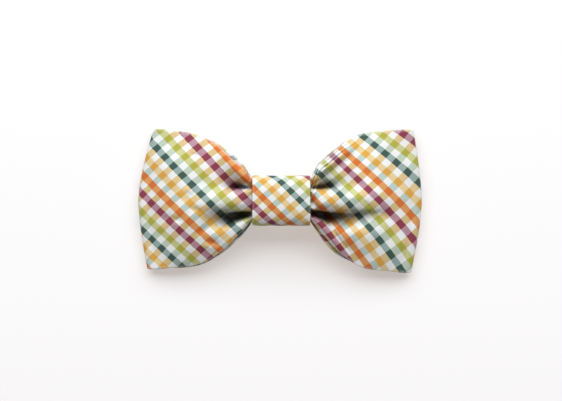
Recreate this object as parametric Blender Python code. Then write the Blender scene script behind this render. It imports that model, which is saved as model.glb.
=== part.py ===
"""A bow tie for a pet's collar, lying on its back with its face up.

One long strip of doubled, lightly stiffened cotton is closed to a flat loop,
so that each wing has a front and a back panel and a soft fold at its outer
end. A second strip, the knot, is wrapped round the loop's middle and gathers
it into a ridge between two valleys. A flat elastic loop behind the knot
takes the collar.

Metres, +X to the right as one faces the bow, +Y up its face, +Z out of it.
The origin is under the middle of the whole bow, on the surface it lies on.
"""

import math

import bmesh
import bpy

# The bow's loop of cloth
LEFT_WING = 0.0574  # from the knot's middle to the outer fold
RIGHT_WING = 0.0564
WING_HALF_HEIGHT = 0.0287  # from the knot's middle line to a hem
BOW_CLOTH = 0.0015  # two plies of cotton and the stiffening between them
FOLD_REACH = 0.0032  # how far the outer fold turns beyond the flat panels
PINCH_DEPTH = 0.0060  # between the two panels' middles inside the knot
GATHER_RISE = 0.0014  # of the ridge over the panel, at the knot
GATHER_SINK = 0.0030  # of the valleys under the panel, at the knot
BACK_GATHER = 0.35  # the back panel's folds, as a share of the front's
BACK_CURL = 0.0014  # how far the back panel's edges curl up inside the knot
PINCH_EASE = 0.0007  # how far the gathered hems stay inside the knot's corners

# The knot
KNOT_WIDTH = 0.0228
KNOT_HALF_HEIGHT = 0.00995
KNOT_CLOTH = 0.0012
KNOT_CROWN = 0.0006  # how much the band swells between its two folded edges
KNOT_SQUARENESS = 2.8  # exponent of the wrapped outline, 2 being an ellipse

# The elastic loop that takes the collar
ELASTIC_WIDTH = 0.0100
ELASTIC_CLOTH = 0.0012
COLLAR_SLOT_HEIGHT = 0.0046
COLLAR_SLOT_LENGTH = 0.0172

GAP = 0.0003  # between pieces that touch

# How finely the cloth is divided
ROWS_ACROSS = 24
PANEL_COLUMNS = 15
FOLD_COLUMNS = 5
KNOT_SIDES = 40
KNOT_STRIPS = 6
ELASTIC_END_SIDES = 8

# Heights that follow from the stack of elastic, knot and bow
ELASTIC_HEIGHT = COLLAR_SLOT_HEIGHT + 2 * ELASTIC_CLOTH
KNOT_BACK = ELASTIC_HEIGHT + GAP
PINCH_LOW = KNOT_BACK + KNOT_CLOTH + GAP
PINCH_BACK = PINCH_LOW + BOW_CLOTH / 2 + BACK_GATHER * GATHER_RISE
PINCH_FRONT = PINCH_BACK + PINCH_DEPTH
PINCH_HIGH = PINCH_FRONT + GATHER_RISE + BOW_CLOTH / 2
KNOT_FRONT = PINCH_HIGH + GAP + KNOT_CLOTH
KNOT_X = (LEFT_WING - RIGHT_WING) / 2
PINCH_HALF_HEIGHT = KNOT_HALF_HEIGHT - KNOT_CLOTH - GAP - PINCH_EASE
PINCH_HALF_WIDTH = KNOT_WIDTH / 2 + GAP

# Each row is a station of a wing. "out" is its place between the knot's edge
# and the outer fold. The four edges are shares of the way from the pinched
# half height to the full one. "crest" is the front panel's middle as a share
# of its height in the knot, "hem" the front's edge as a share of the way from
# the back panel to the crest, and "back" the back panel's height as a share
# of its height in the knot.
STATIONS = [
    dict(out=0.00, left_top=0.00, left_low=0.00, right_top=0.00, right_low=0.00,
         crest=1.00, hem=0.55, back=1.00),
    dict(out=0.07, left_top=0.25, left_low=0.21, right_top=0.29, right_low=0.20,
         crest=0.99, hem=0.56, back=0.93),
    dict(out=0.17, left_top=0.40, left_low=0.40, right_top=0.47, right_low=0.40,
         crest=0.95, hem=0.60, back=0.66),
    dict(out=0.27, left_top=0.53, left_low=0.57, right_top=0.62, right_low=0.57,
         crest=0.90, hem=0.62, back=0.32),
    dict(out=0.37, left_top=0.67, left_low=0.69, right_top=0.75, right_low=0.70,
         crest=0.86, hem=0.60, back=0.09),
    dict(out=0.47, left_top=0.77, left_low=0.79, right_top=0.86, right_low=0.81,
         crest=0.84, hem=0.57, back=0.00),
    dict(out=0.58, left_top=0.85, left_low=0.85, right_top=0.91, right_low=0.90,
         crest=0.81, hem=0.54, back=0.00),
    dict(out=0.70, left_top=0.91, left_low=0.88, right_top=0.94, right_low=0.94,
         crest=0.74, hem=0.53, back=0.00),
    dict(out=0.85, left_top=0.95, left_low=0.91, right_top=0.97, right_low=0.97,
         crest=0.58, hem=0.60, back=0.00),
    dict(out=1.00, left_top=1.00, left_low=0.94, right_top=0.99, right_low=1.01,
         crest=0.37, hem=0.80, back=0.00),
]

# Where the back panel's hem shows past the front's. "start" and "end" are
# places along the wing, and "proud" is how far it shows, in metres.
PROUD_HEMS = [
    dict(edge="left_top", start=-0.02, end=0.55, proud=0.0010),
    dict(edge="left_low", start=0.35, end=1.00, proud=0.0008),
    dict(edge="right_low", start=-0.02, end=0.50, proud=0.0012),
]

# How much shorter a wing is at its corners than along its middle line, as a
# share of the wing, and the exponent of the curve between them
CORNER_SETBACK = {"left_top": 0.105, "left_low": 0.062, "right_top": 0.06, "right_low": 0.075}
END_CURVE = 1.5

# The folds that run out of the knot. "near" and "far" are the fold's line at
# the knot and where it dies out, "reach" how far out that is, "half_width"
# its half width, and "rise" its height as a share of the ridge's or valley's.
# Lines and widths are shares of the wing's half height.
FOLDS = [
    dict(wing="left", near=0.01, far=0.06, reach=0.46, half_width=0.115, rise=1.0),
    dict(wing="left", near=0.15, far=0.30, reach=0.36, half_width=0.085, rise=-1.0),
    dict(wing="left", near=-0.14, far=-0.36, reach=0.40, half_width=0.090, rise=-1.0),
    dict(wing="right", near=0.01, far=0.02, reach=0.46, half_width=0.115, rise=1.0),
    dict(wing="right", near=0.15, far=0.30, reach=0.36, half_width=0.085, rise=-1.0),
    dict(wing="right", near=-0.13, far=-0.42, reach=0.42, half_width=0.090, rise=-1.0),
]


def smooth_step(share):
    """0 below 0, 1 above 1, and an even S between."""
    share = min(max(share, 0.0), 1.0)
    return share * share * (3 - 2 * share)


def at_station(column, out):
    """A column of the stations, read smoothly at any place along the wing."""
    last = len(STATIONS) - 1
    index = 0
    while index < last - 1 and out > STATIONS[index + 1]["out"]:
        index += 1
    points = [STATIONS[min(max(index + step, 0), last)] for step in (-1, 0, 1, 2)]
    start, end = points[1]["out"], points[2]["out"]
    share = min(max((out - start) / (end - start), 0.0), 1.0)

    def slope(before, after):
        run = after["out"] - before["out"]
        return (after[column] - before[column]) / run * (end - start) if run else 0.0

    leave = slope(points[0], points[2])
    arrive = slope(points[1], points[3])
    square, cube = share * share, share**3
    return (
        (2 * cube - 3 * square + 1) * points[1][column]
        + (cube - 2 * square + share) * leave
        + (3 * square - 2 * cube) * points[2][column]
        + (cube - square) * arrive
    )


def half_height(wing, up, out):
    """From the middle line to the hem, at a place along the wing."""
    edge = wing + ("_top" if up >= 0 else "_low")
    full = WING_HALF_HEIGHT - PINCH_HALF_HEIGHT
    return PINCH_HALF_HEIGHT + full * at_station(edge, out)


def back_proud(wing, up, out):
    """How far past the front panel's hem the back panel's reaches."""
    edge = wing + ("_top" if up >= 0 else "_low")
    proud = 0.0
    for hem in PROUD_HEMS:
        along = (out - hem["start"]) / (hem["end"] - hem["start"])
        if hem["edge"] == edge and 0 < along < 1:
            proud += hem["proud"] * math.sin(math.pi * along) ** 2
    return proud * min(out / 0.1, 1.0)


def wing_length(wing, up):
    """From the knot's middle to the fold's cloth, for a row across the wing."""
    length = LEFT_WING if wing == "left" else RIGHT_WING
    edge = wing + ("_top" if up >= 0 else "_low")
    return length * (1 - CORNER_SETBACK[edge] * abs(up) ** END_CURVE) - BOW_CLOTH / 2


def fold_relief(wing, y, out):
    """The gathers' height over the plain panel."""
    relief = 0.0
    for fold in FOLDS:
        if fold["wing"] != wing:
            continue
        along = min(out / fold["reach"], 1.0)
        line = fold["near"] + (fold["far"] - fold["near"]) * along
        across = (y / WING_HALF_HEIGHT - line) / (fold["half_width"] * (1 + along))
        size = GATHER_RISE if fold["rise"] > 0 else GATHER_SINK
        relief += size * fold["rise"] * math.exp(-across * across) * (1 - smooth_step(along))
    return relief


def front_height(wing, up, y, out):
    """Middle of the front panel's cloth, over the surface below the bow."""
    crest = PINCH_FRONT * at_station("crest", out)
    low = back_level(out)
    hem = low + (crest - low) * at_station("hem", out)
    return hem + (crest - hem) * (1 - abs(up) ** 2.3) + fold_relief(wing, y, out)


def back_level(out):
    return BOW_CLOTH / 2 + (PINCH_BACK - BOW_CLOTH / 2) * at_station("back", out)


def back_height(wing, up, y, out):
    """Middle of the back panel's cloth."""
    lifted = at_station("back", out)
    curl = BACK_CURL * lifted * up**4
    return back_level(out) + curl - BACK_GATHER * lifted * fold_relief(wing, y, out)


def panel_point(wing, panel, up, out):
    """A point of a panel, from its place along the wing and across it."""
    side = -1 if wing == "left" else 1
    y = up * half_height(wing, up, out)
    if panel == "back":
        y += up**3 * back_proud(wing, up, out)
    flat = wing_length(wing, up) - FOLD_REACH - PINCH_HALF_WIDTH
    x = KNOT_X + side * (PINCH_HALF_WIDTH + out * flat)
    height = front_height if panel == "front" else back_height
    return x, y, height(wing, up, y, out)


def fold_point(wing, up, turn):
    """A point of the outer fold, from 0 on the front panel to 1 on the back."""
    x, y, front = panel_point(wing, "front", up, 1.0)
    back = panel_point(wing, "back", up, 1.0)[2]
    side = -1 if wing == "left" else 1
    angle = math.pi * turn
    middle, half = (front + back) / 2, (front - back) / 2
    return x + side * FOLD_REACH * math.sin(angle), y, middle + half * math.cos(angle)


def pinched_point(panel, up, share):
    """A point of the stretch inside the knot, from 0 at its left edge to 1."""
    left = panel_point("left", panel, up, 0.0)
    right = panel_point("right", panel, up, 0.0)
    return tuple(a + (b - a) * share for a, b in zip(left, right))


def bow_row(up):
    """One row of the loop's cloth, once round: front, right fold, back, left fold."""
    outs = [column / (PANEL_COLUMNS - 1) for column in range(PANEL_COLUMNS)]
    outs = [out**1.15 for out in outs]
    turns = [(column + 1) / (FOLD_COLUMNS + 1) for column in range(FOLD_COLUMNS)]
    row = [panel_point("left", "front", up, out) for out in reversed(outs)]
    row += [pinched_point("front", up, share) for share in (0.33, 0.67)]
    row += [panel_point("right", "front", up, out) for out in outs]
    row += [fold_point("right", up, turn) for turn in turns]
    row += [panel_point("right", "back", up, out) for out in reversed(outs)]
    row += [pinched_point("back", up, share) for share in (0.67, 0.33)]
    row += [panel_point("left", "back", up, out) for out in outs]
    row += [fold_point("left", up, turn) for turn in reversed(turns)]
    return row


def knot_row(along):
    """The knot's cloth once round the bow, at a place along its width."""
    crown = KNOT_CROWN * (1 - (2 * along - 1) ** 2)
    half_deep = (KNOT_FRONT - KNOT_BACK - KNOT_CLOTH) / 2
    half_high = KNOT_HALF_HEIGHT - KNOT_CLOTH / 2
    middle = (KNOT_FRONT + KNOT_BACK) / 2
    x = KNOT_X + (along - 0.5) * KNOT_WIDTH
    row = []
    for side in range(KNOT_SIDES):
        angle = 2 * math.pi * side / KNOT_SIDES
        y = rounded(math.cos(angle)) * half_high
        z = middle + rounded(math.sin(angle)) * half_deep
        if z > middle:
            z += crown * math.sin(angle)
        row.append((x, y, z))
    return row


def rounded(value):
    return math.copysign(abs(value) ** (2 / KNOT_SQUARENESS), value)


def elastic_row(along):
    """The elastic's middle line once round: flat below and above, round at both ends."""
    radius = (ELASTIC_HEIGHT - ELASTIC_CLOTH) / 2
    straight = (COLLAR_SLOT_LENGTH - COLLAR_SLOT_HEIGHT) / 2
    x = KNOT_X + (along - 0.5) * ELASTIC_WIDTH
    row = []
    for end in (1, -1):
        for side in range(ELASTIC_END_SIDES + 1):
            angle = math.pi * (side / ELASTIC_END_SIDES - 0.5)
            y = end * (straight + radius * math.cos(angle))
            z = ELASTIC_HEIGHT / 2 + end * radius * math.sin(angle)
            row.append((x, y, z))
    return row


def cloth_material(name, colour, roughness):
    material = bpy.data.materials.new(name)
    material.use_nodes = True
    shader = material.node_tree.nodes["Principled BSDF"]
    shader.inputs["Base Color"].default_value = (*colour, 1.0)
    shader.inputs["Roughness"].default_value = roughness
    shader.inputs["Metallic"].default_value = 0.0
    material.diffuse_color = (*colour, 1.0)
    return material


def cloth_band(name, rows, thickness, material, parent):
    """A ring of cloth through closed rows of points, thickened both ways."""
    mesh = bpy.data.meshes.new(name)
    ring = bmesh.new()
    grid = [[ring.verts.new(point) for point in row] for row in rows]
    for lower, upper in zip(grid, grid[1:]):
        for column in range(len(lower)):
            after = (column + 1) % len(lower)
            ring.faces.new((lower[column], lower[after], upper[after], upper[column]))
    bmesh.ops.triangulate(ring, faces=ring.faces, quad_method="SHORT_EDGE")
    bmesh.ops.recalc_face_normals(ring, faces=ring.faces)
    ring.to_mesh(mesh)
    ring.free()
    mesh.shade_smooth()
    band = bpy.data.objects.new(name, mesh)
    bpy.context.scene.collection.objects.link(band)
    band.parent = parent
    mesh.materials.append(material)
    wall = band.modifiers.new("wall", "SOLIDIFY")
    wall.thickness = thickness
    wall.offset = 0.0
    wall.use_even_offset = True
    wall.use_quality_normals = True
    return band


def build():
    for old in list(bpy.data.objects):
        bpy.data.objects.remove(old, do_unlink=True)
    bow = bpy.data.objects.new("pet_bow_tie", None)
    bpy.context.scene.collection.objects.link(bow)

    check = cloth_material("check_cotton", (0.72, 0.58, 0.40), 0.85)
    knot_check = cloth_material("knot_cotton", (0.70, 0.52, 0.36), 0.85)
    elastic = cloth_material("white_elastic", (0.80, 0.79, 0.76), 0.75)

    heights = [2 * row / ROWS_ACROSS - 1 for row in range(ROWS_ACROSS + 1)]
    cloth_band("bow_loop", [bow_row(up) for up in heights], BOW_CLOTH, check, bow)

    strips = [strip / KNOT_STRIPS for strip in range(KNOT_STRIPS + 1)]
    cloth_band("knot_band", [knot_row(along) for along in strips], KNOT_CLOTH, knot_check, bow)

    ends = (0.0, 1.0)
    cloth_band("collar_loop", [elastic_row(along) for along in ends], ELASTIC_CLOTH, elastic, bow)


build()
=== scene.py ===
"""The finished look of a bow tie for a pet's collar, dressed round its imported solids.

The bow lies on its back on a white light table, seen from straight above as in
the photograph. Metres, +X to the right, +Y up the bow's face, +Z out of it.
"""

import math

import bpy
import numpy as np
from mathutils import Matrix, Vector, noise


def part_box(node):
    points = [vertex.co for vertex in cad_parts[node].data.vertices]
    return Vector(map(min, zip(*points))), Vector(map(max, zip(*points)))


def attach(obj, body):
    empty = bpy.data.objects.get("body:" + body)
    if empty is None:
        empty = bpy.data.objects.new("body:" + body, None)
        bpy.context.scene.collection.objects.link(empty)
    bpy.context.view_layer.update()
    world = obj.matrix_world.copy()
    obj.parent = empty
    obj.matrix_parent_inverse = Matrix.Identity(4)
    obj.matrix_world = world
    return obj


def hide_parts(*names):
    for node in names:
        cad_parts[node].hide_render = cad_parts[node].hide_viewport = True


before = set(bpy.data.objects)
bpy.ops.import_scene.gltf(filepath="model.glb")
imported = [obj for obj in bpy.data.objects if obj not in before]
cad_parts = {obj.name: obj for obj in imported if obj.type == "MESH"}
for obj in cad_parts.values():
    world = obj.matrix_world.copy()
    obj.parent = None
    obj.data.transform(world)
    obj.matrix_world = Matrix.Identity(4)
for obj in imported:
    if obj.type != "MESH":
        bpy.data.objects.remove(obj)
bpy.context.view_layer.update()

# The camera
# The photograph was taken straight down, from about two thirds of a metre
# with a short telephoto lens. The scale is that of the wings' outline.
PHOTO_WIDTH, PHOTO_HEIGHT = 562, 401
METRES_PER_PIXEL = 0.0004018
KNOT_PIXEL = (281.3, 200.6)
OUTLINE_HEIGHT = 0.003  # of the wings' hems over the table
CAMERA_LENS, SENSOR_WIDTH = 100, 36


def add_object(name, data):
    """A new object, linked to the scene."""
    made = bpy.data.objects.new(name, data)
    bpy.context.scene.collection.objects.link(made)
    return made


knot_low, knot_high = (Vector(corner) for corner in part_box("knot_band"))
knot_middle = (knot_low + knot_high) / 2
camera_data = bpy.data.cameras.new("camera")
camera_data.lens = CAMERA_LENS
camera_data.sensor_width = SENSOR_WIDTH
camera = add_object("camera", camera_data)
camera.location = (
    knot_middle.x - (KNOT_PIXEL[0] - PHOTO_WIDTH / 2) * METRES_PER_PIXEL,
    knot_middle.y + (KNOT_PIXEL[1] - PHOTO_HEIGHT / 2) * METRES_PER_PIXEL,
    OUTLINE_HEIGHT + CAMERA_LENS / SENSOR_WIDTH * PHOTO_WIDTH * METRES_PER_PIXEL,
)
bpy.context.scene.camera = camera
bpy.context.scene.view_settings.view_transform = "Standard"
bpy.context.scene.view_settings.look = "None"


# The table
# A light table of white opal acrylic under the bow, much larger than the
# view. It glows faintly and warmly from below, which keeps the bow's shadow
# pale. Its face is matt, so that nothing mirrors in it.
ACRYLIC_WHITE = "#B8BBBF"
GLOW_WHITE = "#FFF4EC"
GLOW_STRENGTH = 0.445
TABLE_SIDE = 4.0


def linear(colour):
    """An sRGB hex colour as linear red, green, blue and alpha."""
    parts = [int(colour[place:place + 2], 16) / 255 for place in (1, 3, 5)]
    return (*[p / 12.92 if p <= 0.04045 else ((p + 0.055) / 1.055) ** 2.4 for p in parts], 1.0)


def add_node(tree, kind, inputs=None, **settings):
    """A node with its settings, its plain input values and the links into it."""
    node = tree.nodes.new(kind)
    for name, value in settings.items():
        setattr(node, name, value)
    for socket, value in (inputs or {}).items():
        if isinstance(value, bpy.types.NodeSocket):
            tree.links.new(value, node.inputs[socket])
        else:
            node.inputs[socket].default_value = value
    return node


def new_material(name, constants):
    """A material with those constants on its shader's sockets, its node tree and its shader."""
    material = bpy.data.materials.new(name)
    material.use_nodes = True
    shader = material.node_tree.nodes["Principled BSDF"]
    for socket, value in constants.items():
        shader.inputs[socket].default_value = value
    return material, material.node_tree, shader


acrylic = new_material(
    "matt opal acrylic",
    {
        "Base Color": linear(ACRYLIC_WHITE),
        "Roughness": 0.9,
        "Specular IOR Level": 0.1,
        "Emission Color": linear(GLOW_WHITE),
        "Emission Strength": GLOW_STRENGTH,
    },
)[0]

table_mesh = bpy.data.meshes.new("light_table")
half_side = TABLE_SIDE / 2
table_corners = [(x * half_side, y * half_side, 0) for x, y in ((-1, -1), (1, -1), (1, 1), (-1, 1))]
table_mesh.from_pydata(table_corners, [], [(0, 1, 2, 3)])
table_mesh.materials.append(acrylic)
table = add_object("light_table", table_mesh)


# The light
# One broad softbox stands beyond the bow's top edge and throws a soft shadow
# below it, and the pale room gives a weak fill from all round.
SOFTBOX_PLACE = (0.0, 0.74, 0.82)
SOFTBOX_WIDTH, SOFTBOX_HEIGHT = 2.2, 0.9
SOFTBOX_POWER = 27.0
SOFTBOX_WHITE = "#F8FCFF"
ROOM_WHITE = "#FFF9F4"
ROOM_STRENGTH = 0.21

softbox_data = bpy.data.lights.new("softbox", "AREA")
softbox_data.shape = "RECTANGLE"
softbox_data.size = SOFTBOX_WIDTH
softbox_data.size_y = SOFTBOX_HEIGHT
softbox_data.energy = SOFTBOX_POWER
softbox_data.color = linear(SOFTBOX_WHITE)[:3]
softbox = add_object("softbox", softbox_data)
softbox.location = SOFTBOX_PLACE
softbox.rotation_euler = (-Vector(SOFTBOX_PLACE)).to_track_quat("-Z", "Y").to_euler()

room = bpy.data.worlds.new("white room")
room.use_nodes = True
room_light = room.node_tree.nodes["Background"]
room_light.inputs["Color"].default_value = linear(ROOM_WHITE)
room_light.inputs["Strength"].default_value = ROOM_STRENGTH
bpy.context.scene.world = room


# The check cotton
# Light plain-weave cotton, soft and matt, in a traditional check: five strong
# colours take turns with pale stripes one way. Every second row across them is
# white: it makes half tones of the strong ones and turns the pale ones white.
THREADS_PER_SQUARE = 8  # threads of 0.33 mm
CHECK_STRIPES = [  # name, colour in a coloured row, and in a white row
    ("plum", "#903C50", "#BF929F"),
    ("peach", "#E2C591", "#F6F6F5"),
    ("lime", "#B4B045", "#D1D094"),
    ("sage", "#C6D3C0", "#F6F6F5"),
    ("teal", "#435C54", "#9EB2AC"),
    ("sand", "#E7CB96", "#F6F6F5"),
    ("mustard", "#E3A94A", "#EED49E"),
    ("mist", "#C0D2C8", "#F6F6F5"),
    ("orange", "#DD7532", "#E5A060"),
    ("khaki", "#DDC48C", "#F6F6F5"),
]
CHECK_WAVER = 0.16  # how far the woven lines wander, in squares
WAVERS_PER_SQUARE = 1.3  # 2 mm each
SLUBS_PER_THREAD = 0.35  # the thicker places of the yarn, about 1 mm long
FADINGS_PER_METRE = 70.0  # faint uneven fading, about 14 mm wide
CLOTH_VALUE = 0.67
WEAVE_SHADE, SLUB_SHADE, FADING_SHADE = 0.07, 0.08, 0.06
PAINTED_GATHER_SHADE_STRENGTH = 0.58  # how much the painted shade darkens the deepest gathers
WORN_WHITE = "#F1EEE8"
WORN_SHARE = 0.45
WEAVE_HEIGHT = 0.00008
SLUB_HEIGHT = 0.6  # a slub's, as a share of a thread's


def check_cotton():
    """Plain-weave cotton: rough and matt, index of refraction 1.5, a weak fibre sheen,
    paler where its hems are worn, with painted shade darkening its deepest gathers."""
    material, tree, shader = new_material(
        "woven check cotton",
        {
            "Roughness": 0.88,
            "IOR": 1.5,
            "Specular IOR Level": 0.25,
            "Sheen Weight": 0.07,
            "Sheen Roughness": 0.5,
        },
    )
    squares = add_node(tree, "ShaderNodeUVMap", uv_map="counts").outputs["UV"]
    waver = add_node(
        tree, "ShaderNodeTexNoise", {"Vector": squares, "Scale": WAVERS_PER_SQUARE, "Detail": 2.0}
    )
    centred = add_node(
        tree, "ShaderNodeVectorMath", {0: waver.outputs["Color"], 1: (0.5, 0.5, 0.5)}, operation="SUBTRACT"
    )
    wander = (CHECK_WAVER, CHECK_WAVER, 0.0)
    shifted = add_node(
        tree, "ShaderNodeVectorMath", {0: centred.outputs[0], 1: wander, 2: squares}, operation="MULTIPLY_ADD"
    )
    place = add_node(tree, "ShaderNodeSeparateXYZ", {0: shifted.outputs[0]})

    # How far along the stripes the place is, and whether its row is coloured
    stripes = float(len(CHECK_STRIPES))
    steps = {
        "X": {"ADD": 0.5, "FLOORED_MODULO": stripes, "DIVIDE": stripes},
        "Y": {"ADD": 0.5, "FLOORED_MODULO": 2.0, "LESS_THAN": 1.0},
    }
    found = []
    for way, operations in steps.items():
        value = place.outputs[way]
        for operation, by in operations.items():
            value = add_node(tree, "ShaderNodeMath", {0: value, 1: by}, operation=operation).outputs[0]
        found.append(value)
    stripe, coloured_row = found

    ramps = []
    for column in (1, 2):
        ramp = add_node(tree, "ShaderNodeValToRGB", {"Fac": stripe})
        ramp.color_ramp.interpolation = "CONSTANT"
        for index, entry in enumerate(CHECK_STRIPES):
            stops = ramp.color_ramp.elements
            stop = stops[index] if index < 2 else stops.new(index / len(CHECK_STRIPES))
            stop.position = index / len(CHECK_STRIPES)
            stop.color = linear(entry[column])
        ramps.append(ramp.outputs["Color"])
    dyed = add_node(tree, "ShaderNodeMix", {0: coloured_row, 6: ramps[1], 7: ramps[0]}, data_type="RGBA")

    # The threads, which pass over each other by turns
    per_square = (THREADS_PER_SQUARE, THREADS_PER_SQUARE, 0.0)
    threads = add_node(tree, "ShaderNodeVectorMath", {0: squares, 1: per_square}, operation="MULTIPLY")
    thread = add_node(tree, "ShaderNodeSeparateXYZ", {0: threads.outputs[0]})
    rounded, numbers = [], []
    for way in ("X", "Y"):
        turned = add_node(tree, "ShaderNodeMath", {0: thread.outputs[way], 1: math.pi}, operation="MULTIPLY")
        wave = add_node(tree, "ShaderNodeMath", {0: turned.outputs[0]}, operation="SINE")
        rounded.append(add_node(tree, "ShaderNodeMath", {0: wave.outputs[0]}, operation="ABSOLUTE"))
        numbers.append(add_node(tree, "ShaderNodeMath", {0: thread.outputs[way]}, operation="FLOOR"))
    over = add_node(
        tree, "ShaderNodeMath", {0: numbers[0].outputs[0], 1: numbers[1].outputs[0]}, operation="ADD"
    )
    over = add_node(tree, "ShaderNodeMath", {0: over.outputs[0], 1: 2.0}, operation="FLOORED_MODULO")
    weave = add_node(
        tree,
        "ShaderNodeMix",
        {0: over.outputs[0], 2: rounded[0].outputs[0], 3: rounded[1].outputs[0]},
        data_type="FLOAT",
    ).outputs[0]

    slubs = add_node(
        tree, "ShaderNodeTexNoise", {"Vector": threads.outputs[0], "Scale": SLUBS_PER_THREAD, "Detail": 3.0}
    ).outputs["Fac"]
    here = add_node(tree, "ShaderNodeTexCoord").outputs["Object"]
    fading = add_node(
        tree, "ShaderNodeTexNoise", {"Vector": here, "Scale": FADINGS_PER_METRE, "Detail": 3.0}
    ).outputs["Fac"]
    value = CLOTH_VALUE
    for shade, share in ((weave, WEAVE_SHADE), (slubs, SLUB_SHADE), (fading, FADING_SHADE)):
        shaded = add_node(tree, "ShaderNodeMath", {0: shade, 1: share, 2: value}, operation="MULTIPLY_ADD")
        value = shaded.outputs[0]
    # Painted shade: the cloth's colour is darkened where the gathers are deepest, standing in for the shade
    # there
    painted_gather_shade = add_node(tree, "ShaderNodeAttribute", attribute_name="painted_gather_shade").outputs["Fac"]
    painted_shade_factor = add_node(tree, "ShaderNodeMath", {0: painted_gather_shade, 1: -PAINTED_GATHER_SHADE_STRENGTH, 2: 1.0}, operation="MULTIPLY_ADD")
    value = add_node(tree, "ShaderNodeMath", {0: value, 1: painted_shade_factor.outputs[0]}, operation="MULTIPLY")
    cloth = add_node(tree, "ShaderNodeHueSaturation", {"Color": dyed.outputs[2], "Value": value.outputs[0]})
    wear = add_node(tree, "ShaderNodeAttribute", attribute_name="wear").outputs["Fac"]
    worn = add_node(tree, "ShaderNodeMath", {0: wear, 1: slubs}, operation="MULTIPLY")
    worn = add_node(tree, "ShaderNodeMath", {0: worn.outputs[0], 1: WORN_SHARE}, operation="MULTIPLY")
    cloth = add_node(
        tree,
        "ShaderNodeMix",
        {0: worn.outputs[0], 6: cloth.outputs[0], 7: linear(WORN_WHITE)},
        data_type="RGBA",
    )

    relief = add_node(tree, "ShaderNodeMath", {0: slubs, 1: SLUB_HEIGHT, 2: weave}, operation="MULTIPLY_ADD")
    bump = add_node(
        tree, "ShaderNodeBump", {"Strength": 0.35, "Distance": WEAVE_HEIGHT, "Height": relief.outputs[0]}
    )
    tree.links.new(cloth.outputs[2], shader.inputs["Base Color"])
    tree.links.new(bump.outputs["Normal"], shader.inputs["Normal"])
    return material


cotton = check_cotton()


# The bow
# One long strip of that cotton, doubled over a light stiffening and pressed,
# closed to a flat loop and gathered at its middle. Its two panels stand apart
# in each wing, and each wing ends in a soft fold.
STIFF_CLOTH = 0.0015  # the solid's cloth, with its stiffening
BOW_CLOTH = 0.0009
FOLD_REACH = 0.0032  # how far the outer fold turns beyond the flat panels
PINCH_DEPTH = 0.0060  # between the two panels' middles inside the knot
PINCH_EASE = 0.0007  # how far the gathered hems stay inside the knot's corners
GATHER_RISE = 0.0014  # the height of the front's folds inside the knot
BACK_GATHER = 0.35  # the back panel's folds, as a share of the front's
BACK_CURL = 0.0014  # how far the back panel's edges curl up inside the knot
CROWN_CURVE = 2.3  # how the front panel curves from its crest down to its hems
END_CURVE = 1.5  # how the outer folds curve from their middles to their corners
FRONT_TO_BACK = 0.0016  # the least between the panels' middles where they press together
SETTLE = 0.0010  # how softly they part again
TROUGH = 0.0034  # how much wider the back panel's troughs are than the front's valleys
PRESS_SLOPE = 2.5  # how steeply those troughs leave the knot
HEM_DROP = 0.0010  # from the front hem down to the back one, where they lie together
HEM_ZONE_START, HEM_ZONE_RUN = 0.46, 0.42  # where they lie so, as a share of the wing's half height
HEMS_START, HEMS_START_RUN = 0.02, 0.10  # the same beside the knot, as a share of the wing's length
HEMS_PART, HEMS_PART_RUN = 0.62, 0.30  # and where they have parted again
KNOT_CLOTH = 0.0012
GAP = 0.0003  # between pieces that touch
WING_ROWS = 141
WING_COLUMNS = 71
COLUMN_CROWDING = 1.3  # how much closer the columns stand beside the knot
TURN_COLUMNS = 14
PINCH_COLUMNS = 7
HEM_STEPS = 4
HEM_WEAR = 0.03  # the worn edge, as a share of the half height
PAINTED_SHADE_START = 0.0025  # the gathers' depth from which painted shade darkens the cloth
PAINTED_SHADE_RUN = 0.0040  # and how much deeper the painted shade is at its full
RUMPLES = [
    dict(size=0.0120, rise=0.00090, seed=3.0),
    dict(size=0.0052, rise=0.00028, seed=11.0),
]
SMOOTH_BY_KNOT = 0.01  # the front is less rumpled up to here, where the knot pulls it taut
LOOKS_UP = 0.3  # the least height of the outward direction on the front face

bow_low, bow_high = (Vector(corner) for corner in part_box("bow_loop"))
KNOT_X = knot_middle.x
WING_LENGTH = {"left": KNOT_X - bow_low.x, "right": bow_high.x - KNOT_X}
WING_HALF_HEIGHT = 0.0287
PINCH_HALF_HEIGHT = knot_high.y - KNOT_CLOTH - GAP - PINCH_EASE
PINCH_HALF_WIDTH = (knot_high.x - knot_low.x) / 2 + GAP
PINCH_BACK = knot_low.z + KNOT_CLOTH + GAP + STIFF_CLOTH / 2 + BACK_GATHER * GATHER_RISE
PINCH_FRONT = PINCH_BACK + PINCH_DEPTH


def named_rows(columns, *rows):
    """Rows of values as dicts, by the names of their columns."""
    return [dict(zip(columns.split(), row)) for row in rows]


# The wing along its length, from the knot at 0 to the outer fold at 1: how far
# each hem has spread, the heights of the crest and of the hems between it and
# the back panel, and how far the back panel still stands off the table.
STATIONS = named_rows(
    "out left_top left_low right_top right_low crest hem back",
    (0.00, 0.00, 0.00, 0.00, 0.00, 1.00, 0.55, 1.00),
    (0.07, 0.25, 0.21, 0.29, 0.20, 0.99, 0.56, 0.93),
    (0.17, 0.40, 0.40, 0.47, 0.40, 0.95, 0.60, 0.66),
    (0.27, 0.53, 0.57, 0.62, 0.57, 0.90, 0.62, 0.32),
    (0.37, 0.67, 0.69, 0.75, 0.70, 0.86, 0.60, 0.09),
    (0.47, 0.77, 0.79, 0.86, 0.81, 0.84, 0.57, 0.00),
    (0.58, 0.85, 0.85, 0.91, 0.90, 0.81, 0.54, 0.00),
    (0.70, 0.91, 0.88, 0.94, 0.94, 0.74, 0.53, 0.00),
    (0.85, 0.95, 0.91, 0.97, 0.97, 0.58, 0.60, 0.00),
    (1.00, 1.00, 0.94, 0.99, 1.01, 0.37, 0.80, 0.00),
)

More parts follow.
